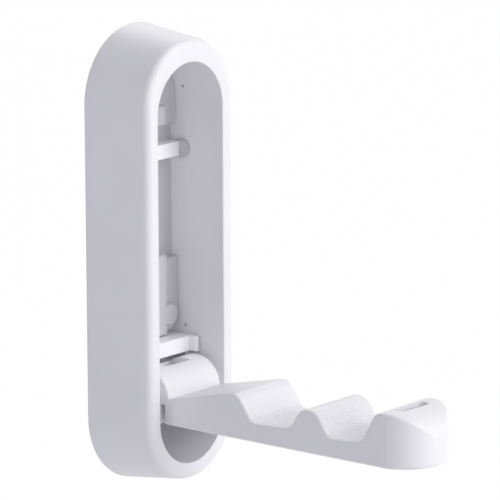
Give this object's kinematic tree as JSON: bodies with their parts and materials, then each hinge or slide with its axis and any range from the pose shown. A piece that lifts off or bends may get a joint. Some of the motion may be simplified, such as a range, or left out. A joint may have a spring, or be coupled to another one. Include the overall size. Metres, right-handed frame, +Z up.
{
  "type": "folding wall hook",
  "caption": "Tall round-ended wall shell with a recess, and a notched hook arm that folds down level from it on a hinge pin to hold clothes hangers.",
  "frame": {"origin": "middle of the back face, on the wall", "axes": "+Z up, +Y into the wall, so the hook stands out along -Y, +X to the right of someone facing it"},
  "size_m": [0.0546, 0.1398, 0.17],
  "materials": {
    "white_abs": "moulded white ABS, fine satin grain",
    "acetal": "natural acetal, smooth",
    "steel": "zinc-plated steel",
    "spring_steel": "stainless spring strip",
    "silicone": "translucent grey silicone"
  },
  "bodies": {
    "shell": {"housing": "white_abs", "back_plate": "white_abs", "hinge_bracket": "white_abs", "left_bush": "acetal", "right_bush": "acetal", "detent_spring": "spring_steel", "spring_screw": "steel", "rest_bumpers": "silicone", "shell_screws": "steel", "bracket_screws": "steel"},
    "hook": {"arm": "white_abs", "arm_cover": "white_abs", "hinge_pin": "steel"}
  },
  "joints": [
    {"name": "arm_fold", "type": "hinge", "parent": "shell", "child": "hook", "pos_m": [0, -0.0179, -0.04975], "axis": [-1, 0, 0], "range_deg": [0, 90]}
  ]
}
